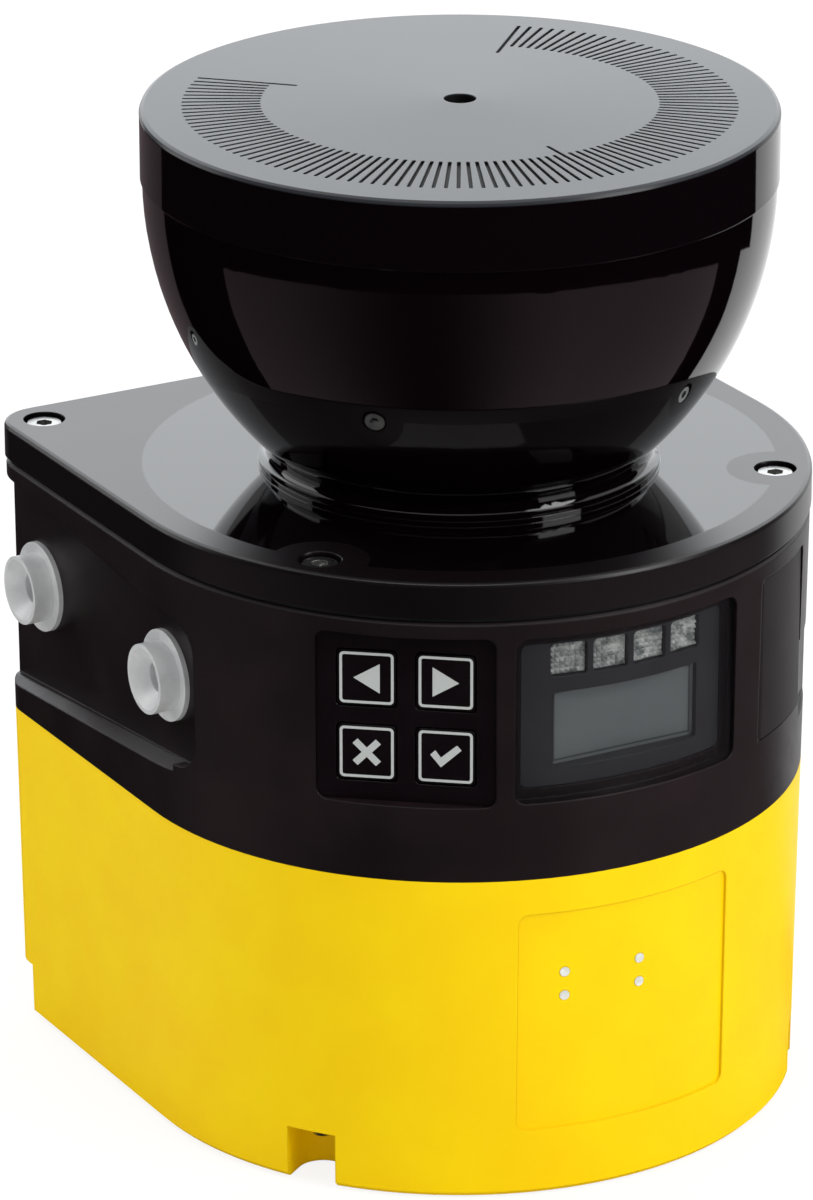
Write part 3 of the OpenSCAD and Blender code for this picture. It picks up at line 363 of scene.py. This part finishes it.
def wound_copper():
    """Enamelled wire, laid turn on turn."""
    f = Finish("motor_winding")
    x, y, z = f.axes(f.spot())
    turns = f.add("ShaderNodeTexWave", {"bands_direction": "Z"},
                  {"Vector": f.spot(), "Scale": 420.0, "Distortion": 0.6})
    above = z.rise((COIL_LOW - 0.1) * MM, (COIL_LOW + 0.1) * MM)
    below = 1 - z.rise((COIL_HIGH - 0.1) * MM, (COIL_HIGH + 0.1) * MM)
    return f.surface(Base_Color=f.mix(turns, srgb(120, 62, 28), srgb(196, 112, 58)),
                     Metallic=0.85 * above * below + 0.15,
                     Roughness=f.between(turns, 0.3, 0.45), Normal=f.relief(turns, 0.08, 0.6))


def display_glass():
    """Unlit liquid crystal: flat grey with a hardly visible grid, and a thin line round it."""
    f = Finish("unlit_display")
    place = f.spot()
    grid = f.add("ShaderNodeTexBrick", {"offset": 0.0},
                 {"Vector": place, "Scale": 900.0, "Mortar Size": 0.05,
                  "Brick Width": 0.5, "Row Height": 0.5})
    x, y, z = f.axes(place)
    across = x.math("ABSOLUTE") - LCD_LINE_X * MM
    upward = (z - LCD_MIDDLE * MM).math("ABSOLUTE") - LCD_LINE_Z * MM
    from_line = across.math("MAXIMUM", upward).math("ABSOLUTE")
    line = 1 - from_line.rise(0.1 * MM, 0.22 * MM)
    field = f.mix(grid.other("Fac"), srgb(134, 141, 143), srgb(129, 136, 138))
    return f.surface(Base_Color=f.mix(line, field, srgb(84, 90, 92)),
                     Roughness=f.between(f.grain(6), 0.3, 0.36),
                     Normal=f.relief(grid.other("Fac"), 0.002, 0.2))


def mirror_face():
    """Silvered glass with a little dust."""
    f = Finish("scan_mirror_face")
    dust = f.grain(2.5, 4)
    silver = f.mix(dust.rise(0.4, 0.8), srgb(238, 240, 243), srgb(228, 231, 236))
    return f.surface(Base_Color=silver, Metallic=1.0, Roughness=f.between(dust, 0.02, 0.06))


def print_finish():
    """Screen printing on the key pad."""
    f = Finish("key_print")
    ink = f.grain(0.35, 3)
    return f.surface(Base_Color=f.mix(ink, srgb(178, 182, 180), srgb(190, 194, 192)),
                     Roughness=f.between(ink, 0.42, 0.55), Normal=f.relief(ink, 0.005, 0.4))


FINISHES = {
    "housing_paint": housing_finish(),
    "hood_paint": hood_finish(),
    "cover_gloss": cover_finish(),
    "cap_plastic": cap_finish(),
    "rubber_seal": rubber("seal_rubber"),
    "steel": metal("screw_steel", srgb(198, 198, 196), srgb(150, 150, 148), 0.28),
    "sleeve_aluminium": metal("sleeve_aluminium", srgb(226, 227, 227), srgb(204, 206, 207), 0.4,
                              0.2, round_sleeves, matte=0.82),
    "connector_metal": metal("nickel_plate", srgb(205, 203, 196), srgb(176, 174, 168), 0.26),
    "contact_gold": metal("contact_gold", srgb(232, 196, 110), srgb(205, 168, 84), 0.24, 0.08),
    "window_smoke": smoked_pane(),
    "dark_plastic": plastic("dark_moulding", srgb(20, 19, 20), srgb(26, 25, 26), 0.45),
    "lens_clear": clear_plastic("status_lens", srgb(150, 158, 156), srgb(250, 252, 250), 0.08,
                                size_mm=1.6),
    "lcd_grey": display_glass(),
    "key_plastic": plastic("key_top", srgb(14, 7, 11), srgb(17, 10, 14), 0.22, 0.5, 0.004, 0.2),
    "mat_silicone": rubber("key_mat_silicone"),
    "board": circuit_board(),
    "light_pipe": clear_plastic("light_pipe", srgb(214, 216, 208), srgb(240, 242, 236), 0.25),
    "copper": wound_copper(),
    "bearing_steel": metal("bearing_steel", srgb(210, 211, 214), srgb(180, 181, 185), 0.18,
                           0.1, round_axis),
    "cast_aluminium": metal("cast_aluminium", srgb(176, 177, 178), srgb(146, 147, 149), 0.46, 0.25),
    "magnet": plastic("bonded_magnet", srgb(52, 52, 56), srgb(64, 64, 68), 0.5, 0.3, 0.02),
    "mirror_glass": mirror_face(),
    "lens_glass": clear_plastic("receiver_lens", srgb(176, 200, 212), srgb(205, 222, 230), 0.04,
                                alpha=0.45, size_mm=6.0),
    "code_metal": metal("code_disc", srgb(150, 152, 156), srgb(120, 122, 127), 0.3,
                        0.08, round_axis),
}
BY_NODE = {
    "display_frame": plastic("display_surround", srgb(55, 56, 60), srgb(61, 63, 67), 0.42,
                             size_mm=0.8, depth_mm=0.002, edge_mm=0.3),
    "keypad_frame": FINISHES["key_plastic"],
    "service_flap": plastic("flap_rubber", srgb(24, 17, 20), srgb(30, 23, 26), 0.55,
                            size_mm=0.35, depth_mm=0.012, edge_mm=0.35),
}
PRINT = print_finish()

for name, node in NODES.items():
    node.data.materials.clear()
    node.data.materials.append(BY_NODE.get(name) or FINISHES[SLOT_OF[name]])


# ---------------------------------------------------------------- pieces

def piece_from(build, name, material, body):
    """A finished piece whose place is in its mesh."""
    mesh = bpy.data.meshes.new(name)
    build.to_mesh(mesh)
    build.free()
    piece = bpy.data.objects.new(name, mesh)
    bpy.context.scene.collection.objects.link(piece)
    mesh.materials.append(material)
    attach(piece, body)
    return piece


def facing_turn(angle, up):
    """Takes a drawing in x and z, with +y into the object, to this angle on the front."""
    return Matrix.Translation((0, 0, up)) @ Matrix.Rotation(math.radians(angle), 4, "Z")


def slab(build, outline, holes, near, far):
    """A plate between two depths, from an outline in x and z and any holes in it."""
    loops = [outline] + holes
    front, back = [], []
    for loop in loops:
        front.append([build.verts.new((x, near, z)) for x, z in loop])
        back.append([build.verts.new((x, far, z)) for x, z in loop])
    for rings in (front, back):
        edges = []
        for ring in rings:
            edges += [build.edges.new(pair) for pair in zip(ring, ring[1:] + ring[:1])]
        bmesh.ops.triangle_fill(build, use_beauty=True, use_dissolve=False, edges=edges)
    for a, b in zip(front, back):
        for i in range(len(a)):
            j = (i + 1) % len(a)
            build.faces.new((a[i], a[j], b[j], b[i]))
    bmesh.ops.recalc_face_normals(build, faces=build.faces)


def rounded_box(width, height, radius, steps=6):
    """Outline of a rounded rectangle round its middle."""
    points = []
    for sx, sz, start in ((1, 1, 0), (-1, 1, 90), (-1, -1, 180), (1, -1, 270)):
        for i in range(steps + 1):
            a = math.radians(start + 90 * i / steps)
            points.append((sx * (width / 2 - radius) + radius * math.cos(a),
                           sz * (height / 2 - radius) + radius * math.sin(a)))
    return points


def cross_outline(span, width):
    """A diagonal cross in one outline."""
    h = width / 2
    arm = span / math.sqrt(2)
    plus = [(h, h), (h, arm), (-h, arm), (-h, h), (-arm, h), (-arm, -h), (-h, -h), (-h, -arm),
            (h, -arm), (h, -h), (arm, -h), (arm, h)]
    c = math.sqrt(0.5)
    return [((x - z) * c, (x + z) * c) for x, z in plus]


def tick_outline(width):
    """A tick in one outline: short arm down, long arm up."""
    w = width / math.sqrt(2)
    return [(-2.4, 0.25), (-2.4 + w, 0.25 + w), (-0.75, -0.15),
            (1.75, 2.0), (2.45, 1.2), (-0.75, -1.75)]


KEY_ANGLE = -38.4
KEY_PITCH = 12.25
BAR = 1.1
ARROW_X, ARROW_Z = 2.05, 2.42
FRAME_OUT, FRAME_IN = 8.4, 7.55

# Outlines in millimetres, in the order in which the keys stand: top row, then bottom row.
SYMBOLS = {
    "key_left": [(-ARROW_X, 0), (ARROW_X, -ARROW_Z), (ARROW_X, ARROW_Z)],
    "key_right": [(ARROW_X, 0), (-ARROW_X, ARROW_Z), (-ARROW_X, -ARROW_Z)],
    "key_cancel": cross_outline(3.62, BAR),
    "key_confirm": tick_outline(BAR),
}


def key_prints():
    """Printed frame and symbol on each key."""
    turn = math.radians(KEY_ANGLE)
    inward = Vector((-math.sin(turn), math.cos(turn), 0))
    for i, (key, symbol) in enumerate(SYMBOLS.items()):
        build = bmesh.new()
        face = min(v.co.dot(inward) for v in NODES[key].data.vertices) / MM
        near, far = face - 0.03, face + 0.05
        slab(build, rounded_box(FRAME_OUT, FRAME_OUT, 0.7),
             [rounded_box(FRAME_IN, FRAME_IN, 0.35)[::-1]], near, far)
        slab(build, symbol, [], near, far)
        middle = ((i % 2 - 0.5) * KEY_PITCH, 0, (0.5 - i // 2) * KEY_PITCH)
        front = facing_turn(KEY_ANGLE, PANEL_HEIGHT * MM)
        place = front @ Matrix.Scale(MM, 4) @ Matrix.Translation(middle)
        bmesh.ops.transform(build, matrix=place, verts=build.verts)
        piece_from(build, key + "_print", PRINT, key + "_cap")


key_prints()


class Pattern(Tree):
    """A Geometry Nodes tree with named inputs, which repeats a form at marked places."""

    def __init__(self, name, sizes):
        self.group = bpy.data.node_groups.new(name, "GeometryNodeTree")
        super().__init__(self.group)
        kinds = {"Places": "NodeSocketGeometry", "Finish": "NodeSocketMaterial",
                 "Columns": "NodeSocketInt", "Rows": "NodeSocketInt", "Seed": "NodeSocketInt"}
        self.keys = {}
        for label in ("Places", "Finish") + sizes:
            item = self.group.interface.new_socket(label, in_out="INPUT",
                                                   socket_type=kinds.get(label, "NodeSocketFloat"))
            self.keys[label] = item.identifier
        self.group.interface.new_socket("Result", in_out="OUTPUT", socket_type="NodeSocketGeometry")
        self.given = self.add("NodeGroupInput")

    def size(self, label):
        """One of the tree's inputs."""
        return self.given.other(label)

    def close(self, form):
        """Sets the form at each place, turned as the place says, and gives it its finish."""
        turn = self.add("GeometryNodeInputNamedAttribute", {"data_type": "FLOAT_VECTOR"},
                        {"Name": "turn"})
        spin = self.add("FunctionNodeEulerToRotation", None, {0: turn})
        copies = self.add("GeometryNodeInstanceOnPoints", None,
                          {"Points": self.size("Places"), "Instance": form, "Rotation": spin})
        solid = self.add("GeometryNodeRealizeInstances", None, {0: copies})
        done = self.add("GeometryNodeSetMaterial", None,
                        {"Geometry": solid, "Material": self.size("Finish")})
        self.add("NodeGroupOutput", None, {"Result": done})

    def make(self, name, places, material, sizes, body, slot):
        """Runs the tree on places, each a point in millimetres and a turn in degrees."""
        marks = bpy.data.meshes.new(name + "_places")
        marks.from_pydata([tuple(v * MM for v in point) for point, turn in places], [], [])
        turns = marks.attributes.new("turn", "FLOAT_VECTOR", "POINT")
        for i, (point, turn) in enumerate(places):
            turns.data[i].vector = [math.radians(v) for v in turn]
        piece = bpy.data.objects.new(name, marks)
        bpy.context.scene.collection.objects.link(piece)
        run = piece.modifiers.new(name, "NODES")
        run.node_group = self.group
        run[self.keys["Finish"]] = material
        for label, value in sizes.items():
            run[self.keys[label]] = value
        graph = bpy.context.evaluated_depsgraph_get()
        mesh = bpy.data.meshes.new_from_object(piece.evaluated_get(graph), depsgraph=graph)
        piece.modifiers.clear()
        piece.data = mesh
        mesh.name = name
        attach(piece, body)
        return piece


def thread_pattern():
    """A round thread: a diamond ridge that climbs round the wall of a hole or a stud."""
    t = Pattern("screw_thread", ("Radius", "Pitch", "Length", "Ridge"))
    climb = t.add("GeometryNodeCurveSpiral", None,
                  {"Resolution": 28, "Rotations": t.size("Length") / t.size("Pitch"),
                   "Start Radius": t.size("Radius"), "End Radius": t.size("Radius"),
                   "Height": t.size("Length")})
    upright = t.add("GeometryNodeSetCurveNormal", {"mode": "Z_UP"}, {"Curve": climb})
    ridge = t.add("GeometryNodeCurvePrimitiveCircle", {"mode": "RADIUS"},
                  {"Resolution": 4, "Radius": t.size("Ridge")})
    t.close(t.add("GeometryNodeCurveToMesh", None,
                  {"Curve": upright, "Profile Curve": ridge, "Fill Caps": True}))
    return t


def facet_pattern():
    """A clear block whose front is a field of small uneven pyramids."""
    t = Pattern("faceted_lens", ("Width", "Height", "Depth", "Facet", "Columns", "Rows", "Seed"))
    field = t.add("GeometryNodeMeshGrid", None,
                  {"Size X": t.size("Width") - t.size("Width") / t.size("Columns"),
                   "Size Y": t.size("Height") - t.size("Height") / t.size("Rows"),
                   "Vertices X": t.size("Columns"), "Vertices Y": t.size("Rows")})
    across = t.size("Width") / t.size("Columns") * 0.7
    pyramid = t.add("GeometryNodeMeshCone", {"fill_type": "NGON"},
                    {"Vertices": 4, "Radius Top": across * 0.12, "Radius Bottom": across,
                     "Depth": t.size("Facet")})
    tall = t.add("FunctionNodeRandomValue", {"data_type": "FLOAT"},
                 {"Min": 0.45, "Max": 1.0, "Seed": t.size("Seed")}, out=1)
    square = t.add("ShaderNodeCombineXYZ", None, {"Z": math.radians(45)})
    stretch = t.add("ShaderNodeCombineXYZ", None, {"X": 1.0, "Y": 1.0, "Z": tall})
    facets = t.add("GeometryNodeInstanceOnPoints", None,
                   {"Points": field, "Instance": pyramid, "Scale": stretch,
                    "Rotation": t.add("FunctionNodeEulerToRotation", None, {0: square})})
    extent = t.add("ShaderNodeCombineXYZ", None,
                   {"X": t.size("Width"), "Y": t.size("Height"), "Z": t.size("Depth")})
    block = t.add("GeometryNodeMeshCube", None, {"Size": extent})
    inward = t.add("ShaderNodeCombineXYZ", None, {"Z": t.size("Depth") * -0.5 + 0.01 * MM})
    behind = t.add("GeometryNodeTransform", None, {"Geometry": block, "Translation": inward})
    t.close(t.add("GeometryNodeJoinGeometry", None, {0: [facets, behind]}))
    return t


def threads():
    """Threads in the side sleeves, the rear bosses and on the round connectors."""
    pattern = thread_pattern()
    fine = {"Pitch": 0.8 * MM, "Ridge": 0.36 * MM, "Radius": 2.52 * MM}
    sleeves = [((side * SLEEVE_THREAD_X, y, SLEEVE_HEIGHT), (0, side * 90, 0))
               for side in (-1, 1) for y in (0, SLEEVE_PITCH)]
    pattern.make("sleeve_threads", sleeves, FINISHES["sleeve_aluminium"],
                 {**fine, "Length": 7.6 * MM}, "scanner", "sleeve_aluminium")
    rear = [((x, y, z), (-90, 0, 0))
            for x in (-REAR_THREAD_X, REAR_THREAD_X) for y, z in REAR_THREAD_ROWS]
    pattern.make("rear_threads", rear, FINISHES["housing_paint"],
                 {**fine, "Length": 7.0 * MM}, "scanner", "housing_paint")
    coarse = {"Pitch": 1.0 * MM, "Ridge": 0.42 * MM, "Length": 7.6 * MM}
    for name, radius, places in (("power_connector_thread", 5.98, (-CONNECTOR_X,)),
                                 ("network_connector_threads", 6.02, (0, CONNECTOR_X))):
        pattern.make(name, [((x, CONNECTOR_Y, CONNECTOR_TIP), (0, 0, 0)) for x in places],
                     FINISHES["connector_metal"], {**coarse, "Radius": radius * MM},
                     "scanner", "connector_metal")


def status_lenses():
    """Four faceted lenses above the display, in place of their plain solids."""
    places = []
    for i in range(4):
        turn = (i - 1.5) * LENS_TURN
        place = (LENS_RADIUS * math.sin(math.radians(turn)),
                 -LENS_RADIUS * math.cos(math.radians(turn)), LENS_HEIGHT)
        places.append((place, (90, 0, turn)))
    sizes = {"Width": 5.8 * MM, "Height": 5.3 * MM, "Depth": 4.2 * MM, "Facet": 0.8 * MM,
             "Columns": 7, "Rows": 6, "Seed": 11}
    piece = facet_pattern().make("status_lenses", places, FINISHES["lens_clear"], sizes,
                                 "scanner", "lens_clear")
    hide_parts("status_lens_1", "status_lens_2", "status_lens_3", "status_lens_4")


threads()
status_lenses()


# ---------------------------------------------------------------- studio

CAMERA_TURN, CAMERA_RISE, CAMERA_ROLL = -29.277, 21.323, -0.052
CAMERA_DISTANCE = 1.07494
AIM_ACROSS, AIM_UP = -8.382, 79.355
ROOM_LIGHT = 0.68
SWEEP_LIGHT = 1.45
KEY_LIGHT = 6.0
GROUND = CAD_BOX[0].z - 0.3 * MM
CARD = CAD_BOX[0].z - 0.1 * MM
CARD_STEP = 0.04 * MM
CLOTH = (1.0, 0.78, 0.83, 1)
LAMP_AIM = (0, 0, 0.09)


def camera():
    """A long lens that looks down on the front from the left."""
    turn, up, roll = (math.radians(v) for v in (CAMERA_TURN, CAMERA_RISE, CAMERA_ROLL))
    back = Vector((math.sin(turn) * math.cos(up), -math.cos(turn) * math.cos(up), math.sin(up)))
    level = Vector((math.cos(turn), math.sin(turn), 0))
    rise = back.cross(level)
    right = level * math.cos(roll) + rise * math.sin(roll)
    rise = rise * math.cos(roll) - level * math.sin(roll)
    aim = (level * AIM_ACROSS + Vector((0, 0, AIM_UP))) * MM
    data = bpy.data.cameras.new("camera")
    data.lens, data.sensor_width = 201.38, 36
    data.clip_start, data.clip_end = 0.05, 20
    eye = bpy.data.objects.new("camera", data)
    bpy.context.scene.collection.objects.link(eye)
    axes = Matrix((right, rise, back)).transposed().to_4x4()
    eye.matrix_world = Matrix.Translation(aim + back * CAMERA_DISTANCE) @ axes
    bpy.context.scene.camera = eye


def world():
    """White where it is seen, and a soft even light elsewhere."""
    sky = bpy.data.worlds.new("studio")
    bpy.context.scene.world = sky
    sky.use_nodes = True
    tree = Tree(sky.node_tree)
    soft = tree.add("ShaderNodeBackground", None, {"Color": (1, 1, 1, 1), "Strength": ROOM_LIGHT})
    white = tree.add("ShaderNodeBackground", None, {"Color": (1, 1, 1, 1), "Strength": 1.0})
    both = tree.add("ShaderNodeMixShader", None, {0: tree.seen(), 1: soft, 2: white})
    tree.add("ShaderNodeOutputWorld", None, {"Surface": both})


def stage_piece(name, build, material):
    """A mesh of the studio, which isn't part of the object."""
    mesh = bpy.data.meshes.new(name)
    build.to_mesh(mesh)
    build.free()
    mesh.materials.append(material)
    piece = bpy.data.objects.new(name, mesh)
    bpy.context.scene.collection.objects.link(piece)
    return piece


def floor():
    """Pale floor that keeps the object's soft shadow."""
    f = Finish("pale_floor")
    ground = f.add("ShaderNodeBsdfDiffuse", None, {"Color": (0.8, 0.8, 0.8, 1)})
    lit = f.add("ShaderNodeBsdfDiffuse", None, {"Color": (0.16, 0.16, 0.16, 1)})
    glow = f.add("ShaderNodeEmission", None, {"Color": (1, 1, 1, 1), "Strength": 0.86})
    white = f.add("ShaderNodeAddShader", None, {0: lit, 1: glow})
    both = f.add("ShaderNodeMixShader", None, {0: f.seen(), 1: ground, 2: white})
    f.add("ShaderNodeOutputMaterial", None, {"Surface": both})
    build = bmesh.new()
    bmesh.ops.create_circle(build, cap_ends=True, segments=96, radius=4.0)
    stage_piece("floor", build, f.material).location = (0, 0, GROUND)


def side_glow(f):
    """Dim and warm towards both sides, and nearly black in front."""
    x, y, z = f.axes(f.spot(turn=(0, 0, math.radians(CAMERA_TURN))))
    turn = x.math("ARCTAN2", -y)
    left = 1 - turn.rise(math.radians(-75), math.radians(-15))
    right = turn.rise(math.radians(-10), math.radians(45))
    return left * 0.17 + right * 0.27 + 0.02


def card(name, start, end, near, far, glow=0.0):
    """A dark or dim studio card that shows only in reflections. It goes round the object between
    two angles from the camera's side, and between two edges given as radius and height. glow is
    its brightness: a number, or a function that adds it to the finish."""
    f = Finish(name + "_cloth")
    strength = glow(f) if callable(glow) else glow
    shade = f.add("ShaderNodeEmission", None, {"Color": CLOTH, "Strength": strength})
    f.add("ShaderNodeOutputMaterial", None, {"Surface": shade})
    build = bmesh.new()
    steps = max(2, int(abs(end - start) / 4))
    turns = [math.radians(CAMERA_TURN + start + (end - start) * i / steps)
             for i in range(steps + 1)]
    rings = []
    for radius, height in (near, far):
        rings.append([build.verts.new((radius * math.sin(t), -radius * math.cos(t), height))
                      for t in turns])
    for i in range(steps):
        build.faces.new((rings[0][i], rings[0][i + 1], rings[1][i + 1], rings[1][i]))
    piece = stage_piece(name, build, f.material)
    piece.visible_camera = piece.visible_diffuse = piece.visible_shadow = False
    piece.visible_transmission = piece.visible_volume_scatter = False


def softbox(name, place, width, height, radiance, colour=(1, 1, 1)):
    """A flat lamp that is turned to the object. The camera doesn't see it."""
    data = bpy.data.lights.new(name, "AREA")
    data.shape = "RECTANGLE"
    data.size, data.size_y = width, height
    data.color = colour
    data.energy = radiance * math.pi * width * height
    lamp = bpy.data.objects.new(name, data)
    bpy.context.scene.collection.objects.link(lamp)
    turn = (Vector(LAMP_AIM) - Vector(place)).to_track_quat("-Z", "Y").to_matrix().to_4x4()
    lamp.matrix_world = Matrix.Translation(place) @ turn
    lamp.visible_camera = False


def studio():
    camera()
    world()
    floor()
    softbox("back_sweep", (0.85, 1.55, 1.0), 3.4, 2.0, SWEEP_LIGHT, (0.9, 0.955, 1.0))
    softbox("key", (0.75, -1.25, 0.95), 0.7, 0.9, KEY_LIGHT)
    softbox("top", (-0.25, -0.35, 1.9), 1.1, 0.6, 3.0)
    softbox("left_rear", (-1.0, 1.15, 0.4), 0.9, 0.6, 2.0)
    low, high = CARD, CARD + CARD_STEP
    card("dark_floor", -137, 119, (0.001, low), (3.0, low))
    card("dark_floor_left", -147, -137, (0.37, low), (3.0, low))
    card("dark_floor_right", 119, 127, (0.38, low), (3.0, low))
    card("dark_tent", -147, 127, (2.4, low), (2.4, 1.2))
    card("dark_tent_top", -95, 85, (2.4, 1.19), (2.4, 2.5))
    card("dim_floor", -92, 104, (0.06, high), (0.36, high), side_glow)
    card("dim_floor_left", -168, -130, (0.08, high), (0.7, high), 0.13)


studio()

bpy.context.scene.view_settings.view_transform = "Standard"
bpy.context.view_layer.update()
